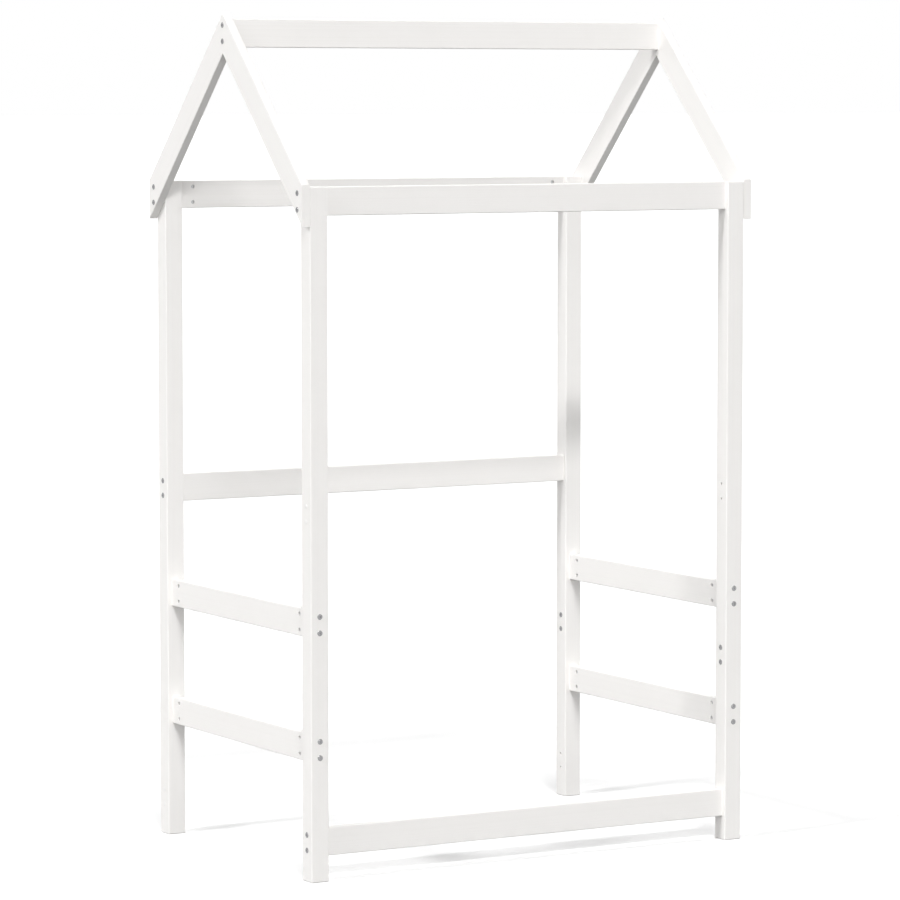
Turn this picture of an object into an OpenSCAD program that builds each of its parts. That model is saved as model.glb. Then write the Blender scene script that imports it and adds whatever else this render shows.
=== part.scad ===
// House-shaped daybed frame: four posts, boarded ends and a roof of two gables and a ridge.
// X runs along the front, Y from front to back and Z up. The origin is on the floor,
// in the middle of the frame. All lengths are in millimetres.

/* [Frame] */
// Length over the posts
frame_len = 1254; // [900:1:2100]
// Depth over the posts
frame_depth = 838; // [640:1:1100]
// Height of the posts
post_h = 1696; // [1500:1:1900]
// Side of the square posts
post_side = 48; // [42:1:60]
// Rounding of the long edges
edge_r = 2.5; // [1:0.5:4]
// Chamfer at the post ends
post_chamfer = 2; // [1:0.5:4]

/* [Rails] */
// Width of the rails and the ridge
rail_w = 70; // [62:1:90]
// Thickness of all boards
board_t = 22; // [20:1:26]
// Middle of the front bottom rail above the floor
bottom_rail_mid = 97; // [60:1:180]
// Middle of the rear middle rail above the floor
middle_rail_mid = 903; // [760:1:1150]
// Middle of the lower end rails above the floor
lower_end_rail_mid = 327; // [280:1:360]
// Middle of the upper end rails above the floor
upper_end_rail_mid = 633; // [590:1:690]

/* [Roof] */
// Pitch of the roof in degrees
roof_pitch = 45; // [40:1:50]
// Width of the rafters
rafter_w = 72; // [68:1:80]
// Height of the eaves above the post tops
eaves_rise = 5; // [0:1:10]
// Gap at the shoulders of the gable's lap joint
shoulder_gap = 0.1; // [0.05:0.05:0.5]

/* [Fasteners] */
// Diameter of the bolt shanks
bolt_d = 6; // [5:0.5:6.5]
// Diameter of the bolt holes
bolt_hole_d = 7; // [6.8:0.1:8]
// Diameter of the bolt heads
head_d = 14; // [12:0.5:16]
// Height of the bolt heads
head_h = 2.8; // [2:0.1:4]
// Width across the flats of the sockets
socket_af = 4; // [3:0.5:5]
// Depth of the sockets
socket_depth = 2; // [1:0.1:2.2]
// Length of the bolts past the middle of their nuts
bolt_past_nut = 5; // [3:0.5:8]
// Spacing of the bolts in the end rails, eaves and ridge
bolt_pitch = 40; // [34:1:44]
// Spacing of the bolts in the middle and bottom rails
rail_bolt_pitch = 38; // [34:1:44]
// Diameter of the cross nuts
nut_d = 10; // [9:0.5:12]
// Length of the cross nuts
nut_len = 15; // [12:1:16]
// Play between a cross nut and its hole
nut_play = 0.1; // [0.05:0.05:0.2]
// Play between a bolt and its nut
thread_play = 0.05; // [0.02:0.01:0.1]
// Distance of the cross nuts from the end of a board
nut_inset = 37; // [32:1:42]
// Room in a board past the tip of its bolt
tip_room = 4; // [1:1:8]

/* [Bed joint] */
// Height of the middle of the bed bolts above the floor
bed_bolt_z = 480; // [420:1:530]
// Length of the bed bolts outside the posts
bed_bolt_out = 12; // [8:1:30]
// Diameter of the plain shanks of the bed bolts
bed_shank_d = 5.4; // [4.8:0.1:5.8]
// Chamfer at the tips of the bed bolts
tip_chamfer = 0.8; // [0.4:0.1:1.2]

/* [Hole caps] */
// Diameter of the caps
cap_d = 12; // [10:0.5:15]
// Height of the caps
cap_h = 1.6; // [1:0.1:2.5]
// Length of the cap stems
cap_stem_len = 9; // [5:1:15]
// Play between a stem and its hole
cap_play = 0.1; // [0.05:0.05:0.2]

/* [Hidden] */
$fn = 48;
eps = 1;

// Faces and middle planes of the frame
outer_x = frame_len / 2;
outer_y = frame_depth / 2;
post_x = outer_x - post_side / 2;
post_y = outer_y - post_side / 2;
inner_x = outer_x - post_side;
inner_y = outer_y - post_side;

// Middle heights of the top rails and the end rails
top_rail_mid = post_h - rail_w / 2;
end_rail_mids = [lower_end_rail_mid, upper_end_rail_mid];

// Roof: the rafters' top edges meet at the apex, and their lower edges at the notch
eaves_z = post_h + eaves_rise;
apex_z = eaves_z + outer_y * tan(roof_pitch);
rafter_plumb = rafter_w / cos(roof_pitch);
notch_z = apex_z - rafter_plumb;
ridge_mid = apex_z - rafter_plumb / 2;
rafter_reach = outer_y / cos(roof_pitch);
lap_side = rafter_w / sin(2 * roof_pitch);

// Sockets, nuts and holes
socket_d = socket_af / cos(30);
nut_hole_d = nut_d + 2 * nut_play;
nut_bore_d = bolt_d + 2 * thread_play;
nut_hole_depth = (board_t + nut_len) / 2;
slot_w = 1.4;
slot_depth = 1.2;
bolt_reach = nut_inset + bolt_past_nut;
bore_len = bolt_reach + tip_room;

// Section of a board with rounded corners, centred on the origin
module eased_section(a, b) {
    square([a - 2 * edge_r, b], center = true);
    square([a, b - 2 * edge_r], center = true);
    for (i = [-1, 1], j = [-1, 1])
        translate([i * (a / 2 - edge_r), j * (b / 2 - edge_r)]) circle(r = edge_r);
}

// Rectangle with chamfered corners, from x = -a/2 to a/2 and y = 0 to b
module chamfered_outline(a, b, c) {
    polygon([
        [-a / 2 + c, 0], [a / 2 - c, 0], [a / 2, c], [a / 2, b - c],
        [a / 2 - c, b], [-a / 2 + c, b], [-a / 2, b - c], [-a / 2, c]
    ]);
}

// Two holes above each other, about the height mid, with pitch between them
module at_pair(mid, pitch) {
    for (k = [-1, 1]) translate([0, 0, mid + k * pitch / 2]) children();
}

// Copies on both ends of the frame: the child points along +X, out of the right end
module at_both_ends() {
    children();
    mirror([1, 0, 0]) children();
}

// Copies on the front and the back: the child points along +Y, out of the back
module at_front_and_back() {
    children();
    mirror([0, 1, 0]) children();
}

// Straight hole from the origin along +X
module hole_x(d, len) {
    translate([-eps, 0, 0]) rotate([0, 90, 0]) cylinder(d = d, h = len + 2 * eps);
}

// Straight hole from the origin along +Y
module hole_y(d, len) {
    translate([0, -eps, 0]) rotate([-90, 0, 0]) cylinder(d = d, h = len + 2 * eps);
}

// Bolt whose head seats at the origin and whose shank runs along -X
module bolt(len, shank_d = bolt_d) {
    rotate([0, -90, 0]) {
        cylinder(d = shank_d, h = len);
        difference() {
            rotate([180, 0, 0]) domed_disc(head_d, head_h);
            translate([0, 0, -head_h - eps]) cylinder(d = socket_d, h = socket_depth + eps, $fn = 6);
        }
    }
}

// Bolt whose thinner plain shank ends in the post and whose thread stands out of it
module bed_bolt() {
    bolt(post_side + eps, bed_shank_d);
    translate([-post_side, 0, 0]) rotate([0, -90, 0]) {
        cylinder(d = bolt_d, h = bed_bolt_out - tip_chamfer);
        translate([0, 0, bed_bolt_out - tip_chamfer])
            cylinder(d1 = bolt_d, d2 = bolt_d - 2 * tip_chamfer, h = tip_chamfer);
    }
}

// Disc with a straight rim and a low dome, from the origin along +Z
module domed_disc(d, h) {
    dome_h = h * 0.65;
    dome_r = (pow(d / 2, 2) + pow(dome_h, 2)) / (2 * dome_h);
    intersection() {
        translate([0, 0, h - dome_r]) sphere(r = dome_r);
        cylinder(d = d, h = h);
    }
}

// Cross nut with its axis along Y and its slotted face towards -Y, bored along X
module cross_nut() {
    difference() {
        rotate([90, 0, 0]) cylinder(d = nut_d, h = nut_len, center = true);
        rotate([0, 90, 0]) cylinder(d = nut_bore_d, h = nut_d + 2 * eps, center = true);
        translate([0, -nut_len / 2, 0]) cube([nut_d + 2 * eps, 2 * slot_depth, slot_w], center = true);
    }
}

// Hole for a cross nut about the origin, open towards -Y of a board that is centred on Y = 0
module cross_nut_hole() {
    translate([0, -board_t / 2 - eps, 0])
        rotate([-90, 0, 0]) cylinder(d = nut_hole_d, h = nut_hole_depth + eps);
}

// Post in the right rear corner, drilled for the rails on both of its inner sides
module post(bed_holes) {
    difference() {
        translate([post_x, post_y, 0]) intersection() {
            linear_extrude(post_h) eased_section(post_side, post_side);
            translate([0, post_side / 2, 0]) rotate([90, 0, 0])
                linear_extrude(post_side) chamfered_outline(post_side, post_h, post_chamfer);
            translate([-post_side / 2, 0, 0]) rotate([90, 0, 90])
                linear_extrude(post_side) chamfered_outline(post_side, post_h, post_chamfer);
        }
        translate([inner_x, post_y, 0]) {
            at_pair(bottom_rail_mid, rail_bolt_pitch) hole_x(bolt_hole_d, post_side);
            at_pair(middle_rail_mid, rail_bolt_pitch) hole_x(bolt_hole_d, post_side);
            at_pair(top_rail_mid, bolt_pitch) hole_x(bolt_hole_d, post_side);
            if (bed_holes)
                at_pair(bed_bolt_z, rail_bolt_pitch) hole_x(bolt_hole_d, post_side);
        }
        for (mid = end_rail_mids)
            translate([post_x, inner_y, 0]) at_pair(mid, bolt_pitch) hole_y(bolt_hole_d, post_side);
    }
}

// Board along X between x = -half_len and half_len, bored at both ends, with its nut holes
// open towards -Y
module bored_board(half_len, pitch) {
    difference() {
        translate([-half_len, 0, 0]) rotate([90, 0, 90])
            linear_extrude(2 * half_len) eased_section(board_t, rail_w);
        at_both_ends() {
            translate([half_len - bore_len, 0, 0]) at_pair(0, pitch)
                rotate([0, 90, 0]) cylinder(d = bolt_hole_d, h = bore_len + eps);
            translate([half_len - nut_inset, 0, 0]) at_pair(0, pitch) cross_nut_hole();
        }
    }
}

// The bolts of such a board; over is the thickness that they pass before they reach it
module board_bolts(half_len, pitch, over) {
    at_both_ends() translate([half_len + over, 0, 0]) at_pair(0, pitch) bolt(over + bolt_reach);
}

// The nuts of such a board
module board_nuts(half_len, pitch) {
    at_both_ends() translate([half_len - nut_inset, 0, 0]) at_pair(0, pitch) cross_nut();
}

// Places along the rear posts: nuts to the front of the board or to the back
module at_rear(mid) { translate([0, post_y, mid]) children(); }
module at_front(mid) { translate([0, -post_y, mid]) children(); }
module nuts_to_back() { mirror([0, 1, 0]) children(); }

// Places of the end rails: nut holes open to the left on both ends
module at_end(side, mid) { translate([side * post_x, 0, mid]) rotate([0, 0, -90]) children(); }

// Board of the front slope, in line with the right gable and longer than needed
module slope_board(width) {
    translate([outer_x + board_t / 2, -outer_y, eaves_z]) rotate([roof_pitch, 0, 0])
        translate([0, -rafter_reach, -width / 2]) rotate([-90, 0, 0])
        linear_extrude(3 * rafter_reach) eased_section(board_t, width);
}

// Outline in the plane of the gable, extruded from the depth x0 to x1 of the boards
module gable_prism(x0, x1, outline) {
    translate([outer_x + x0, 0, 0]) rotate([90, 0, 90]) linear_extrude(x1 - x0) polygon(outline);
}

// Front rafter of the right gable. Up to the shoulder it has its full thickness, and across
// the other rafter only the depth x0 to x1 of the boards.
module rafter(x0, x1) {
    low = eaves_z - 2 * rafter_plumb;
    gap = shoulder_gap / cos(roof_pitch);
    far = 2 * rafter_w;
    along = [cos(roof_pitch), sin(roof_pitch)];
    across = [-sin(roof_pitch), cos(roof_pitch)] * 3 * edge_r;
    notch = [0, notch_z];
    difference() {
        intersection() {
            union() {
                intersection() {
                    slope_board(rafter_w);
                    union() {
                        gable_prism(0, board_t, [
                            [-outer_y, low], [far, low], [far, notch_z - gap - far * tan(roof_pitch)],
                            [-outer_y, notch_z - gap + outer_y * tan(roof_pitch)]
                        ]);
                        gable_prism(x0, x1, [
                            [-outer_y, low], [far, low], [far, apex_z + eps], [-outer_y, apex_z + eps]
                        ]);
                    }
                }
                // Sharp lower edge along the shoulder of the other rafter
                gable_prism(x0, x1, [
                    notch, notch + 2 * lap_side * along,
                    notch + 2 * lap_side * along + across, notch + across
                ]);
            }
            mirror([0, 1, 0]) slope_board(3 * rafter_reach);
        }
        translate([outer_x, -post_y, 0])
            at_pair(top_rail_mid, bolt_pitch) hole_x(bolt_hole_d, board_t);
        translate([outer_x, 0, 0]) at_pair(ridge_mid, bolt_pitch) hole_x(bolt_hole_d, board_t);
    }
}

module outer_lap_rafter() { rafter(board_t / 2, board_t); }
module inner_lap_rafter() { rafter(0, board_t / 2); }

// Cap whose rim seats at the origin and whose stem runs along -X
module cap() {
    rotate([0, 90, 0]) {
        domed_disc(cap_d, cap_h);
        translate([0, 0, -cap_stem_len])
            cylinder(d = bolt_hole_d - 2 * cap_play, h = cap_stem_len);
    }
}

wood = [0.95, 0.94, 0.92];
steel = [0.42, 0.42, 0.43];
zinc = [0.72, 0.72, 0.73];
plastic = [0.93, 0.93, 0.92];

module front_left_post() { color(wood) rotate([0, 0, 180]) post(false); }
module front_right_post() { color(wood) mirror([0, 1, 0]) post(true); }
module rear_left_post() { color(wood) mirror([1, 0, 0]) post(false); }
module rear_right_post() { color(wood) post(true); }

module front_top_rail() {
    color(wood) at_front(top_rail_mid) nuts_to_back()
        bored_board(inner_x, bolt_pitch);
}

module rear_top_rail() {
    color(wood) at_rear(top_rail_mid) bored_board(inner_x, bolt_pitch);
}

module rear_middle_rail() {
    color(wood) at_rear(middle_rail_mid) nuts_to_back()
        bored_board(inner_x, rail_bolt_pitch);
}

module front_bottom_rail() {
    color(wood) at_front(bottom_rail_mid) nuts_to_back()
        bored_board(inner_x, rail_bolt_pitch);
}

module end_rail(side, mid) {
    color(wood) at_end(side, mid) bored_board(inner_y, bolt_pitch);
}

module left_lower_end_rail() { end_rail(-1, lower_end_rail_mid); }
module left_upper_end_rail() { end_rail(-1, upper_end_rail_mid); }
module right_lower_end_rail() { end_rail(1, lower_end_rail_mid); }
module right_upper_end_rail() { end_rail(1, upper_end_rail_mid); }

module ridge_beam() {
    color(wood) translate([0, 0, ridge_mid]) nuts_to_back()
        bored_board(outer_x, bolt_pitch);
}

module right_front_rafter() { color(wood) outer_lap_rafter(); }
module right_rear_rafter() { color(wood) mirror([0, 1, 0]) inner_lap_rafter(); }
module left_front_rafter() { color(wood) mirror([1, 0, 0]) outer_lap_rafter(); }
module left_rear_rafter() { color(wood) rotate([0, 0, 180]) inner_lap_rafter(); }

module end_rail_bolts() {
    color(steel) for (side = [-1, 1], mid = end_rail_mids)
        at_end(side, mid) board_bolts(inner_y, bolt_pitch, post_side);
}

module end_rail_nuts() {
    color(zinc) for (side = [-1, 1], mid = end_rail_mids)
        at_end(side, mid) board_nuts(inner_y, bolt_pitch);
}

module middle_rail_bolts() {
    color(steel) at_rear(middle_rail_mid)
        board_bolts(inner_x, rail_bolt_pitch, post_side);
}

module middle_rail_nuts() {
    color(zinc) at_rear(middle_rail_mid) nuts_to_back() board_nuts(inner_x, rail_bolt_pitch);
}

module bottom_rail_bolts() {
    color(steel) at_front(bottom_rail_mid)
        board_bolts(inner_x, rail_bolt_pitch, post_side);
}

module bottom_rail_nuts() {
    color(zinc) at_front(bottom_rail_mid) nuts_to_back() board_nuts(inner_x, rail_bolt_pitch);
}

module eaves_bolts() {
    color(steel) at_front_and_back() at_rear(top_rail_mid)
        board_bolts(inner_x, bolt_pitch, post_side + board_t);
}

module top_rail_nuts() {
    color(zinc) at_front_and_back() at_rear(top_rail_mid) board_nuts(inner_x, bolt_pitch);
}

module ridge_bolts() {
    color(steel) translate([0, 0, ridge_mid])
        board_bolts(outer_x, bolt_pitch, board_t);
}

module ridge_nuts() {
    color(zinc) translate([0, 0, ridge_mid]) nuts_to_back() board_nuts(outer_x, bolt_pitch);
}

// Bolts that join the right posts to a bed: heads inside, tips standing out to the right
module bed_bolts() {
    color(steel) at_front_and_back() translate([inner_x, post_y, 0])
        at_pair(bed_bolt_z, rail_bolt_pitch) mirror([1, 0, 0]) bed_bolt();
}

// Caps over the holes that hold no rail, on the outside of the posts
module hole_caps() {
    color(plastic) at_both_ends() {
        translate([outer_x, -post_y, 0]) at_pair(middle_rail_mid, rail_bolt_pitch) cap();
        translate([outer_x, post_y, 0]) at_pair(bottom_rail_mid, rail_bolt_pitch) cap();
    }
}

front_left_post();
front_right_post();
rear_left_post();
rear_right_post();
front_top_rail();
rear_top_rail();
rear_middle_rail();
front_bottom_rail();
left_lower_end_rail();
left_upper_end_rail();
right_lower_end_rail();
right_upper_end_rail();
ridge_beam();
left_front_rafter();
left_rear_rafter();
right_front_rafter();
right_rear_rafter();
end_rail_bolts();
end_rail_nuts();
middle_rail_bolts();
middle_rail_nuts();
bottom_rail_bolts();
bottom_rail_nuts();
eaves_bolts();
top_rail_nuts();
ridge_bolts();
ridge_nuts();
bed_bolts();
hole_caps();
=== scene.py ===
"""Looks of the house-shaped daybed frame: white painted pine, zinc-plated bolts and plastic caps.

Everything is in metres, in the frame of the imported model: X along the front, Y from front to
back and Z up, with the origin on the floor in the middle of the frame.
"""

import math
import random

import bmesh
import bpy
from mathutils import Euler, Matrix, Vector


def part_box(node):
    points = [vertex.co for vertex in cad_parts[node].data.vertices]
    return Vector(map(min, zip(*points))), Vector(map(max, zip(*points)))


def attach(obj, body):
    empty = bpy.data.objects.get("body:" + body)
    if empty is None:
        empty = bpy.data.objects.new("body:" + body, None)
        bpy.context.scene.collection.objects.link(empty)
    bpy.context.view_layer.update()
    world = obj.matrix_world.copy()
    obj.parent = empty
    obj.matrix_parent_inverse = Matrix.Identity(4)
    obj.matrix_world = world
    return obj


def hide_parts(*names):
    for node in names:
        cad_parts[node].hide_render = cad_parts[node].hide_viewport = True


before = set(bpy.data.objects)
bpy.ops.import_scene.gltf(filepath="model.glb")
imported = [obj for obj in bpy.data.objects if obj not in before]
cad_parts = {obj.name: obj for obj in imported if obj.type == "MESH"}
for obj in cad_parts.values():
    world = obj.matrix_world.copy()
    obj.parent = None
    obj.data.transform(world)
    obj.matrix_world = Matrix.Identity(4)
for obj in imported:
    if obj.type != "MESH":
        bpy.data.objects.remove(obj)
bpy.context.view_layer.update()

MM = 0.001

# The photograph's viewpoint, with the lens and the sensor in millimetres
CAMERA_PLACE = (-5.4365, -9.4731, 1.9239)
CAMERA_TURN = math.radians(29.861)
CAMERA_DIP = math.radians(4.813)
CAMERA_LENS = 170.1
CAMERA_SENSOR = 36
CAMERA_REACH = 400

# Pitch of the roof
ROOF_PITCH = math.radians(45)

# Bolts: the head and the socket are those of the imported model
HEAD_RADIUS = 7 * MM
HEAD_HEIGHT = 2.8 * MM
HEAD_RIM_HEIGHT = 0.98 * MM
HEAD_EASING = 0.5 * MM
SOCKET_SIDES = 6
SOCKET_FLATS = 4 * MM
SOCKET_CORNER_RADIUS = SOCKET_FLATS / 2 / math.cos(math.pi / SOCKET_SIDES)
SOCKET_DEPTH = 2 * MM
COUNTERSINK = 0.3 * MM
SHANK_RADIUS = 3 * MM
TIP_CHAMFER = 0.8 * MM
BED_SHANK_RADIUS = 2.7 * MM
BED_THREAD_LENGTH = 12 * MM

# Thread of the bed bolts: its crest is flat from one share of the pitch to another, the spare
# turns past its ends are cut off, and its tip is drawn in to a share of its width
THREAD_PITCH = 1 * MM
THREAD_DEPTH = 0.6 * MM
CREST_START = 0.45
CREST_END = 0.55
TURNS_BELOW = 2
TURNS_ABOVE = 1
TIP_SHARE = 0.8

# Caps: a thin domed disc with a tiny flat in its middle, on a round stem with a tapered end
CAP_HEIGHT = 1.6 * MM
CAP_RIM_HEIGHT = 0.5 * MM
CAP_EASING = 0.3 * MM
CAP_FLAT_RADIUS = 0.4 * MM
CAP_STEM_RADIUS = 3.4 * MM
CAP_TAPER = 0.4 * MM
CAP_TAPER_LENGTH = 0.8 * MM

# Rounded edges of heads and caps, in shares of the easing: how far the middle of the curve
# stays from either side, and how far the curve's start and middle are under the rim's height
EASED_MIDDLE = 0.3
EASED_START_DROP = 0.7
EASED_MIDDLE_DROP = 0.05

# Everything turned: the corners around it, the rings of a dome and the sharpest smooth edge
AROUND = 48
DOME_RINGS = 6
SHARP_ANGLE = math.radians(34)

# Largest turn of one fastener against the next, in radians: nearly a side of the hexagon
LARGEST_TWIST = 1

# Distances that count as none, at an open ring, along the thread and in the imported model
SAME_HEIGHT = 0.01 * MM
THREAD_JOIN = 0.005 * MM
PACKED_JOIN = 0.001 * MM

# Colours as the light reflects them
PAINT = (0.875, 0.860, 0.842)
PAINT_THIN = (0.850, 0.832, 0.812)
PAINT_SHADED = (0.820, 0.803, 0.785)
BOLT_STEEL = (0.365, 0.365, 0.37)
NUT_STEEL = (0.59, 0.59, 0.60)
CAP_WHITE = (0.86, 0.85, 0.835)

# Pine under the paint: its rings and fibres are stretched along the board, and the pith's
# distances from a board's middle, through and across it, are in millimetres
RING_SPACING = 3.4 * MM
RING_STRETCH = 22
FIBRE_STRETCH = 40
PITH_DEPTHS = (30, 60)
PITH_SHIFTS = (-18, 18)

# Spacing of the rings of Blender's wave texture at a scale of 1
WAVE_SPACING = 0.314

# Sizes of the fibres and streaks in the pine, and of the paint's dimples and thin patches
FIBRE_SIZE = 0.9 * MM
STREAK_SIZE = 3.2 * MM
FILM_SIZE = 1.6 * MM
PATCH_SIZE = 90 * MM

# How far the paint goes to its shaded colour over late wood, fibres and streaks, and to its
# thin colour in a patch
LATE_WOOD_SHADE = 0.18
FIBRE_SHADE = 0.14
STREAK_SHADE = 0.30
PATCH_SHARE = 0.35

# Relief and gloss of the paint
RING_RELIEF = 0.08 * MM
FIBRE_RELIEF = 0.05 * MM
FILM_RELIEF = 0.02 * MM
PAINT_ROUGHNESS = (0.40, 0.52)

# Zinc plate: its spangle and marks, the share of its colour that stays where it is dull, and
# how far its roughness strays to either side
SPANGLE_SIZE = 1.2 * MM
SPANGLE_RELIEF = 0.03 * MM
MARK_SIZE = 0.25 * MM
MARK_RELIEF = 0.01 * MM
DULL_ZINC = 0.8
ZINC_SMOOTHER = 0.06
ZINC_ROUGHER = 0.08
BOLT_ROUGHNESS = 0.28
NUT_ROUGHNESS = 0.32

# Plastic of the caps: a spark-eroded texture and wide clouds of a duller white
ERODED_SIZE = 0.35 * MM
ERODED_RELIEF = 0.015 * MM
CLOUD_SIZE = 6 * MM
DULL_PLASTIC = 0.97
CAP_ROUGHNESS = (0.34, 0.46)

# Studio floor: the colour and glow that it shows, and the darker colour that lights the frame
FLOOR_SIZE = 600.0
FLOOR_SEEN = (0.90, 0.90, 0.90)
FLOOR_GLOW = 0.21
FLOOR_BOUNCE = (0.15, 0.15, 0.15)

# Sky: its level at the horizon, and how steeply it falls to nothing overhead
SKY_LEVEL = 2.18
SKY_FALL = 2.2

# Strip lamp over the front left, parallel to the front: its height is STRIP_RISE times its
# distance in front, and its other sizes are in degrees
STRIP_LAMPS = 6
STRIP_STRENGTH = 1.74
STRIP_RISE = 0.83
STRIP_START = 10
STRIP_LENGTH = 16
STRIP_DEPTH = 6.5

# Sockets of a node that mixes two colours
MIX_SHARE = 0
MIX_FIRST = 6
MIX_SECOND = 7
MIX_RESULT = 2


def add_node(tree, kind, inputs=None, **settings):
    """A shader node with its settings, whose inputs are values or other nodes' outputs."""
    node = tree.nodes.new(kind)
    for name, value in settings.items():
        setattr(node, name, value)
    for name, value in (inputs or {}).items():
        if isinstance(value, bpy.types.NodeSocket):
            tree.links.new(value, node.inputs[name])
        else:
            node.inputs[name].default_value = value
    return node


def new_material(name):
    """A material whose tree holds only its shader and its output."""
    material = bpy.data.materials.new(name)
    material.use_nodes = True
    tree = material.node_tree
    return material, tree, tree.nodes["Principled BSDF"]


def place_on_piece(tree):
    """Place of a point of the surface, in metres."""
    return add_node(tree, "ShaderNodeTexCoord").outputs["Object"]


def place_along_board(tree, place, centre, turn, stretch):
    """Place from a centre in a board's own axes, for a pattern stretched along the board."""
    node = add_node(tree, "ShaderNodeMapping", {
        "Vector": place, "Location": centre, "Rotation": turn, "Scale": (stretch, 1, 1),
    }, vector_type="TEXTURE")
    return node.outputs["Vector"]


def noise(tree, place, size, detail=2.0):
    """Noise whose blotches are about size metres across."""
    texture = add_node(tree, "ShaderNodeTexNoise", {
        "Vector": place, "Scale": 1 / size, "Detail": detail, "Roughness": 0.5,
    })
    return texture.outputs["Fac"]


def remap(tree, value, low, high, to_low=0.0, to_high=1.0):
    """The value stretched from low..high to another range, held at its ends."""
    node = add_node(tree, "ShaderNodeMapRange", {
        "Value": value, "From Min": low, "From Max": high, "To Min": to_low, "To Max": to_high,
    })
    return node.outputs["Result"]


def calculate(tree, operation, first, second):
    """Result of an operation on two values."""
    node = add_node(tree, "ShaderNodeMath", {0: first, 1: second}, operation=operation)
    return node.outputs["Value"]


def weighted_sum(tree, parts):
    """Sum of some values, each times its weight."""
    weighted = [calculate(tree, "MULTIPLY", value, weight) for value, weight in parts]
    total = weighted[0]
    for value in weighted[1:]:
        total = calculate(tree, "ADD", total, value)
    return total


def opaque(colour):
    """A plain colour with full alpha, or a node's output as it is."""
    return colour if isinstance(colour, bpy.types.NodeSocket) else (*colour, 1)


def blend_colours(tree, share, first, second):
    """The first colour where share is 0 and the second where it is 1."""
    node = add_node(tree, "ShaderNodeMix", {
        MIX_SHARE: share, MIX_FIRST: opaque(first), MIX_SECOND: opaque(second),
    }, data_type="RGBA")
    return node.outputs[MIX_RESULT]


def relief(tree, shader, layers):
    """Bumps that rise with a value, by a depth in metres, each laid over the one before."""
    normal = None
    for height, depth in layers:
        bump = add_node(tree, "ShaderNodeBump", {
            "Height": height, "Strength": 1.0, "Distance": depth,
        })
        if normal:
            tree.links.new(normal, bump.inputs["Normal"])
        normal = bump.outputs["Normal"]
    tree.links.new(normal, shader.inputs["Normal"])


def board_turn(name):
    """Turn that brings the X axis onto a board's length, with Y across its thickness."""
    if name.endswith("_post"):
        return Euler((0, -math.pi / 2, 0))
    if name.endswith("front_rafter"):
        return Euler((0, -ROOF_PITCH, math.pi / 2))
    if name.endswith("rear_rafter"):
        return Euler((0, -ROOF_PITCH, -math.pi / 2))
    if name.endswith("end_rail"):
        return Euler((0, 0, math.pi / 2))
    return Euler((0, 0, 0))


def cut_of_wood(tree, place, name):
    """Places in a board's own cut of wood: from its pith for the rings, and along its fibres."""
    chance = random.Random(name)
    low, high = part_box(name)
    middle = (low + high) / 2
    turn = board_turn(name)
    depth = chance.choice((-1, 1)) * chance.uniform(*PITH_DEPTHS) * MM
    pith = Vector((0, depth, chance.uniform(*PITH_SHIFTS) * MM))
    pith.rotate(turn)
    from_pith = place_along_board(tree, place, middle + pith, turn, RING_STRETCH)
    along_fibres = place_along_board(tree, place, middle, turn, FIBRE_STRETCH)
    return from_pith, along_fibres


def growth_rings(tree, from_pith):
    """Late wood of slightly wavy rings around the pith: 0 in the early wood, then rising to 1."""
    rings = add_node(tree, "ShaderNodeTexWave", {
        "Vector": from_pith, "Scale": WAVE_SPACING / RING_SPACING, "Distortion": 5.0,
        "Detail": 2.0, "Detail Scale": 0.12, "Detail Roughness": 0.45,
    }, wave_type="RINGS", rings_direction="X", wave_profile="SAW").outputs["Fac"]
    return remap(tree, rings, low=0.55, high=1.0)


def painted_pine(name):
    """White satin paint over a sawn and planed pine board, whose rings still show faintly."""
    material, tree, shader = new_material("painted_pine_" + name)
    place = place_on_piece(tree)
    from_pith, along_fibres = cut_of_wood(tree, place, name)
    late_wood = growth_rings(tree, from_pith)
    fibres = noise(tree, along_fibres, FIBRE_SIZE, detail=3.0)
    streaks = remap(tree, noise(tree, along_fibres, STREAK_SIZE), low=0.62, high=0.8)
    film = noise(tree, place, FILM_SIZE, detail=1.0)
    patches = remap(tree, noise(tree, place, PATCH_SIZE), low=0.35, high=0.75, to_high=PATCH_SHARE)

    shade = weighted_sum(tree, (
        (late_wood, LATE_WOOD_SHADE),
        (fibres, FIBRE_SHADE),
        (streaks, STREAK_SHADE),
    ))
    shaded = blend_colours(tree, shade, PAINT, PAINT_SHADED)
    tree.links.new(blend_colours(tree, patches, shaded, PAINT_THIN), shader.inputs["Base Color"])
    roughness = remap(tree, fibres, 0.25, 0.75, *PAINT_ROUGHNESS)
    tree.links.new(roughness, shader.inputs["Roughness"])
    relief(tree, shader, (
        (late_wood, RING_RELIEF),
        (fibres, FIBRE_RELIEF),
        (film, FILM_RELIEF),
    ))
    return material


def zinc_plate(name, colour, roughness):
    """Zinc-plated steel with a fine spangle and the marks of forming and handling."""
    material, tree, shader = new_material(name)
    place = place_on_piece(tree)
    spangle = noise(tree, place, SPANGLE_SIZE)
    marks = noise(tree, place, MARK_SIZE, detail=1.0)
    dull = tuple(DULL_ZINC * part for part in colour)
    tint = blend_colours(tree, remap(tree, spangle, low=0.3, high=0.7), colour, dull)
    tree.links.new(tint, shader.inputs["Base Color"])
    uneven = remap(
        tree, spangle, low=0.3, high=0.7,
        to_low=roughness - ZINC_SMOOTHER, to_high=roughness + ZINC_ROUGHER)
    tree.links.new(uneven, shader.inputs["Roughness"])
    shader.inputs["Metallic"].default_value = 1.0
    relief(tree, shader, ((spangle, SPANGLE_RELIEF), (marks, MARK_RELIEF)))
    return material


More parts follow.
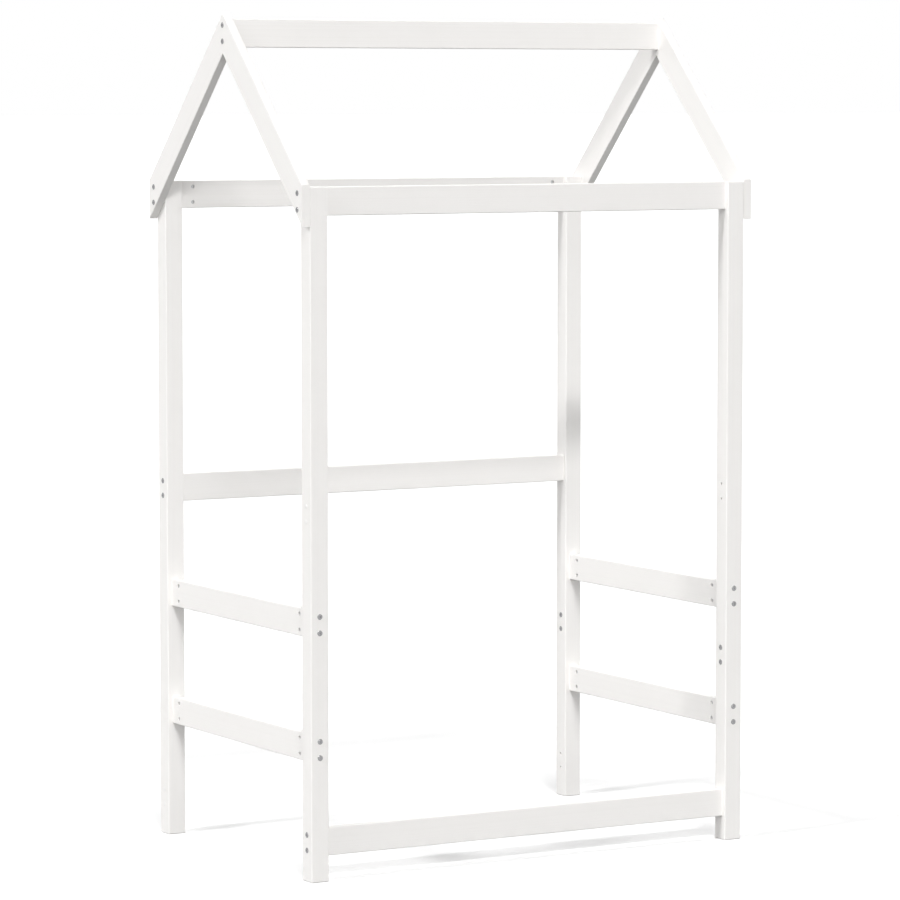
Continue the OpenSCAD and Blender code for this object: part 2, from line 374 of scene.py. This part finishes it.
def cap_plastic():
    """Moulded white plastic with a fine spark-eroded texture."""
    material, tree, shader = new_material("cap_white_plastic")
    place = place_on_piece(tree)
    texture = noise(tree, place, ERODED_SIZE, detail=1.0)
    cloud = noise(tree, place, CLOUD_SIZE)
    duller = tuple(DULL_PLASTIC * part for part in CAP_WHITE)
    tint = blend_colours(tree, remap(tree, cloud, low=0.35, high=0.65), CAP_WHITE, duller)
    tree.links.new(tint, shader.inputs["Base Color"])
    roughness = remap(tree, texture, 0.3, 0.7, *CAP_ROUGHNESS)
    tree.links.new(roughness, shader.inputs["Roughness"])
    relief(tree, shader, ((texture, ERODED_RELIEF),))
    return material


def finish_boards_and_nuts():
    """Gives each board its own cut of wood, and the cross nuts their plating."""
    nut_steel = zinc_plate("nut_zinc_plate", NUT_STEEL, NUT_ROUGHNESS)
    for name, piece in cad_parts.items():
        if name.endswith(("_bolts", "_caps")):
            continue
        finish = nut_steel if name.endswith("_nuts") else painted_pine(name)
        piece.data.materials.clear()
        piece.data.materials.append(finish)


def turned(bm, profile):
    """Round body about the Z axis, from a profile of radii and heights."""
    corners = [bm.verts.new((radius, 0, height)) for radius, height in profile]
    edges = [bm.edges.new(pair) for pair in zip(corners, corners[1:])]
    bmesh.ops.spin(
        bm, geom=corners + edges, cent=(0, 0, 0), axis=(0, 0, 1), angle=math.tau,
        steps=AROUND, use_merge=True)


def open_ring(bm, height):
    """Edges of the open ring of a turned body at a height."""
    return [
        edge for edge in bm.edges
        if edge.is_boundary and all(abs(end.co.z - height) < SAME_HEIGHT for end in edge.verts)
    ]


def open_wire(bm):
    """Edges that carry no face yet."""
    return [edge for edge in bm.edges if edge.is_wire]


def dome_height(ring, radius, rim_height, height):
    """Height of a low dome at a ring of its surface."""
    rise = height - rim_height
    curve = (radius * radius + rise * rise) / (2 * rise)
    return height - curve + math.sqrt(curve * curve - ring * ring)


def eased_head(radius, rim_height, height, inner_radius, easing):
    """Profile of a domed head whose rim is rounded, from under the rim to the inner radius."""
    inset = easing * EASED_MIDDLE
    under = [(radius - easing, 0), (radius - inset, inset), (radius, easing)]
    rim = [
        (radius, rim_height - easing * EASED_START_DROP),
        (radius - inset, rim_height - easing * EASED_MIDDLE_DROP),
    ]
    inwards = inner_radius - radius + easing
    rings = [radius - easing + inwards * step / DOME_RINGS for step in range(DOME_RINGS + 1)]
    return under + rim + [(ring, dome_height(ring, radius, rim_height, height)) for ring in rings]


def sink_socket(bm, height):
    """Hexagonal socket with a countersunk mouth, sunk into the open ring at a height."""
    mouth = open_ring(bm, height)
    flats = bmesh.ops.create_circle(
        bm, segments=SOCKET_SIDES, radius=SOCKET_CORNER_RADIUS,
        matrix=Matrix.Translation((0, 0, height - COUNTERSINK / 2)))
    corners = set(flats["verts"])
    sides = [edge for edge in bm.edges if set(edge.verts) <= corners]
    bmesh.ops.subdivide_edges(bm, edges=sides, cuts=AROUND // SOCKET_SIDES - 1)
    bmesh.ops.bridge_loops(bm, edges=mouth + open_wire(bm))
    walls = bmesh.ops.extrude_edge_only(bm, edges=open_ring(bm, height - COUNTERSINK / 2))
    sunk = [item for item in walls["geom"] if isinstance(item, bmesh.types.BMVert)]
    bmesh.ops.translate(bm, verts=sunk, vec=(0, 0, -SOCKET_DEPTH))
    bmesh.ops.contextual_create(bm, geom=open_ring(bm, height - COUNTERSINK / 2 - SOCKET_DEPTH))


def cut_end(bm, height, side):
    """Cuts off what is above a height where side is 1, or below it where side is -1, and
    returns the faces that close the cut."""
    everything = bm.verts[:] + bm.edges[:] + bm.faces[:]
    cut = bmesh.ops.bisect_plane(
        bm, geom=everything, plane_co=(0, 0, height), plane_no=(0, 0, side), clear_outer=True)
    section = [item for item in cut["geom_cut"] if isinstance(item, bmesh.types.BMEdge)]
    return bmesh.ops.contextual_create(bm, geom=section)["faces"]


def cut_thread(bm, low, high):
    """Screw thread of a bolt's full width between two heights, with a chamfered tip."""
    turns = round((high - low) / THREAD_PITCH)
    corners = []
    for turn in range(-TURNS_BELOW, turns + TURNS_ABOVE):
        foot = low + turn * THREAD_PITCH
        corners.append(bm.verts.new((SHANK_RADIUS - THREAD_DEPTH, 0, foot)))
        corners.append(bm.verts.new((SHANK_RADIUS, 0, foot + THREAD_PITCH * CREST_START)))
        corners.append(bm.verts.new((SHANK_RADIUS, 0, foot + THREAD_PITCH * CREST_END)))
    edges = [bm.edges.new(pair) for pair in zip(corners, corners[1:])]
    bmesh.ops.spin(
        bm, geom=corners + edges, cent=(0, 0, 0), axis=(0, 0, 1), angle=math.tau,
        steps=AROUND, dvec=(0, 0, THREAD_PITCH / AROUND))
    bmesh.ops.remove_doubles(bm, verts=bm.verts, dist=THREAD_JOIN)
    cut_end(bm, high, side=1)
    end = cut_end(bm, low + TIP_CHAMFER, side=-1)
    tip = bmesh.ops.extrude_discrete_faces(bm, faces=end)["faces"]
    around_tip = tip[0].verts[:]
    bmesh.ops.translate(bm, verts=around_tip, vec=(0, 0, -TIP_CHAMFER))
    bmesh.ops.scale(bm, verts=around_tip, vec=(TIP_SHARE, TIP_SHARE, 1))


def turn_bolt(shank, head_radius):
    """Bolt with its seat at the origin, its domed head along +Z and a shank of the given
    profile along -Z."""
    bm = bmesh.new()
    mouth_radius = SOCKET_CORNER_RADIUS + COUNTERSINK
    head = eased_head(head_radius, HEAD_RIM_HEIGHT, HEAD_HEIGHT, mouth_radius, HEAD_EASING)
    turned(bm, shank + head)
    bmesh.ops.contextual_create(bm, geom=open_ring(bm, shank[0][1]))
    sink_socket(bm, head[-1][1])
    return bm


def make_bolt(length, head_radius):
    """Bolt of one of the frame's joints, with a plain shank that ends in the wood."""
    shank = [
        (SHANK_RADIUS - TIP_CHAMFER, -length),
        (SHANK_RADIUS, TIP_CHAMFER - length),
        (SHANK_RADIUS, 0),
    ]
    return turn_bolt(shank, head_radius)


def make_bed_bolt(length, head_radius):
    """Bolt for the bed beside the frame, with a thinner shank and a thread on its tip."""
    thread_start = BED_THREAD_LENGTH - length
    bm = turn_bolt([(BED_SHANK_RADIUS, thread_start), (BED_SHANK_RADIUS, 0)], head_radius)
    thread = bmesh.new()
    cut_thread(thread, -length, thread_start)
    add_copy(bm, thread, Matrix.Identity(4))
    thread.free()
    return bm


def make_cap(length, radius):
    """White cap with its seat at the origin, its dome along +Z and its stem along -Z."""
    bm = bmesh.new()
    stem = [
        (CAP_STEM_RADIUS - CAP_TAPER, -length),
        (CAP_STEM_RADIUS, CAP_TAPER_LENGTH - length),
        (CAP_STEM_RADIUS, 0),
    ]
    disc = eased_head(radius, CAP_RIM_HEIGHT, CAP_HEIGHT, CAP_FLAT_RADIUS, CAP_EASING)
    turned(bm, stem + disc)
    for height in (-length, disc[-1][1]):
        bmesh.ops.contextual_create(bm, geom=open_ring(bm, height))
    return bm


def add_copy(bm, other, placing):
    """Adds another bmesh's shape, moved and turned by a matrix."""
    shape = bpy.data.meshes.new("copied_shape")
    other.to_mesh(shape)
    shape.transform(placing)
    bm.from_mesh(shape)
    bpy.data.meshes.remove(shape)


def box_corner(places, pick):
    """Corner of the box around some places: the lowest for min, the highest for max."""
    return Vector([pick(place[axis] for place in places) for axis in range(3)])


def fastener_boxes(name):
    """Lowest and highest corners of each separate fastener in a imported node."""
    bm = bmesh.new()
    bm.from_mesh(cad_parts[name].data)
    bmesh.ops.remove_doubles(bm, verts=bm.verts, dist=PACKED_JOIN)
    boxes = []
    reached = set()
    for start in bm.verts:
        if start in reached:
            continue
        reached.add(start)
        island = [start]
        for corner in island:
            for edge in corner.link_edges:
                other = edge.other_vert(corner)
                if other not in reached:
                    reached.add(other)
                    island.append(other)
        places = [corner.co for corner in island]
        boxes.append((box_corner(places, min), box_corner(places, max)))
    bm.free()
    return boxes


def fine_fasteners(name, head_height, make):
    """Mesh of finely made fasteners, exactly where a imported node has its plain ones.

    Their heads face away from the middle of the frame, apart from the bed bolts' heads, and
    head_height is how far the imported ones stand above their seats."""
    chance = random.Random(name)
    outwards = -1 if name == "bed_bolts" else 1
    everything = bmesh.new()
    for low, high in fastener_boxes(name):
        middle, size = (low + high) / 2, high - low
        across = sorted(size)[1]
        along = max(range(3), key=lambda axis: abs(size[axis] - across))
        facing = Vector((0, 0, 0))
        facing[along] = outwards if middle[along] > 0 else -outwards
        seat = middle + facing * (size[along] / 2 - head_height)
        one = make(size[along] - head_height, across / 2)
        turn = facing.to_track_quat("Z", "Y").to_matrix().to_4x4()
        twist = Matrix.Rotation(chance.uniform(0, LARGEST_TWIST), 4, "Z")
        add_copy(everything, one, Matrix.Translation(seat) @ turn @ twist)
        one.free()
    bmesh.ops.recalc_face_normals(everything, faces=everything.faces)
    for face in everything.faces:
        face.smooth = True
    mesh = bpy.data.meshes.new(name + "_fine")
    everything.to_mesh(mesh)
    everything.free()
    mesh.set_sharp_from_angle(angle=SHARP_ANGLE)
    return mesh


def refit_fasteners(name, finish, head_height, make):
    """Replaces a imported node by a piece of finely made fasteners."""
    mesh = fine_fasteners(name, head_height, make)
    mesh.materials.append(finish)
    piece = bpy.data.objects.new(name + "_fine", mesh)
    bpy.context.scene.collection.objects.link(piece)
    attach(piece, "root")
    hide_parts(name)


def refit_bolts_and_caps():
    """Bolts with smooth domed heads, hexagonal sockets and real threads, and smooth caps."""
    steel = zinc_plate("bolt_zinc_plate", BOLT_STEEL, BOLT_ROUGHNESS)
    at_socket = dome_height(SOCKET_FLATS / 2, HEAD_RADIUS, HEAD_RIM_HEIGHT, HEAD_HEIGHT)
    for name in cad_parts:
        if name.endswith("_bolts"):
            make = make_bed_bolt if name == "bed_bolts" else make_bolt
            refit_fasteners(name, steel, at_socket, make)
    refit_fasteners("hole_caps", cap_plastic(), CAP_HEIGHT, make_cap)


def seen_directly(tree):
    """1 for what the camera, a gloss or clear material sees, 0 for light that the paint gathers."""
    path = add_node(tree, "ShaderNodeLightPath").outputs
    seen = calculate(tree, "MAXIMUM", path["Is Camera Ray"], path["Is Glossy Ray"])
    return calculate(tree, "MAXIMUM", seen, path["Is Transmission Ray"])


def lay_floor():
    """White studio floor, which throws back less light than it shows."""
    bpy.ops.mesh.primitive_plane_add(size=FLOOR_SIZE, location=(0, 0, 0))
    floor = bpy.context.object
    floor.name = "studio_floor"
    material, tree, shader = new_material("studio_floor_paint")
    shader.inputs["Roughness"].default_value = 0.9
    shader.inputs["Specular IOR Level"].default_value = 0.1
    seen = seen_directly(tree)
    tree.links.new(blend_colours(tree, seen, FLOOR_BOUNCE, FLOOR_SEEN), shader.inputs["Base Color"])
    glow = calculate(tree, "MULTIPLY", seen, FLOOR_GLOW)
    tree.links.new(glow, shader.inputs["Emission Strength"])
    floor.data.materials.append(material)


def light_sky():
    """Surroundings that light the frame from the horizon more than from overhead, and that are
    plain white where they are seen."""
    world = bpy.data.worlds.new("studio_surroundings")
    bpy.context.scene.world = world
    world.use_nodes = True
    tree = world.node_tree
    tree.nodes.clear()
    direction = add_node(tree, "ShaderNodeTexCoord").outputs["Generated"]
    height = add_node(tree, "ShaderNodeSeparateXYZ", {"Vector": direction}).outputs["Z"]
    from_top = remap(tree, height, low=0.0, high=1.0, to_low=1.0, to_high=0.0)
    fading = calculate(tree, "POWER", from_top, SKY_FALL)
    level = calculate(tree, "MULTIPLY", fading, SKY_LEVEL)
    strength = remap(tree, seen_directly(tree), low=0.0, high=1.0, to_low=level, to_high=1.0)
    background = add_node(tree, "ShaderNodeBackground", {
        "Color": (1, 1, 1, 1), "Strength": strength,
    }).outputs["Background"]
    add_node(tree, "ShaderNodeOutputWorld", {"Surface": background})


def hang_lamp(name, strength, to_left, height, spread):
    """Distant studio lamp, to_left degrees to the left of the front and at a height and a
    spread that are degrees too."""
    lamp = bpy.data.lights.new(name, "SUN")
    lamp.energy = strength
    lamp.angle = math.radians(spread)
    holder = bpy.data.objects.new(name, lamp)
    holder.rotation_euler = (math.radians(90 - height), 0, math.radians(-to_left))
    bpy.context.scene.collection.objects.link(holder)


def hang_front_strip():
    """Long strip lamp over the front left, made of a row of lamps at one height."""
    for lamp in range(STRIP_LAMPS):
        to_left = STRIP_START + STRIP_LENGTH * lamp / (STRIP_LAMPS - 1)
        height = math.degrees(math.atan(STRIP_RISE * math.cos(math.radians(to_left))))
        name = "strip_lamp_" + str(lamp + 1)
        hang_lamp(name, STRIP_STRENGTH / STRIP_LAMPS, to_left, height, STRIP_DEPTH)


def set_camera():
    """Camera at the photograph's viewpoint."""
    lens = bpy.data.cameras.new("photograph_view")
    lens.lens = CAMERA_LENS
    lens.sensor_width = CAMERA_SENSOR
    lens.clip_end = CAMERA_REACH
    camera = bpy.data.objects.new("photograph_view", lens)
    camera.location = CAMERA_PLACE
    camera.rotation_euler = (math.pi / 2 - CAMERA_DIP, 0, -CAMERA_TURN)
    bpy.context.scene.collection.objects.link(camera)
    bpy.context.scene.camera = camera


finish_boards_and_nuts()
refit_bolts_and_caps()
lay_floor()
light_sky()
hang_front_strip()
hang_lamp("left_lamp", strength=1.48, to_left=85, height=36, spread=8)
hang_lamp("right_lamp", strength=0.7, to_left=-102, height=10, spread=40)
hang_lamp("rear_lamp", strength=1.1, to_left=205, height=10, spread=60)
set_camera()
bpy.context.scene.view_settings.view_transform = "Standard"
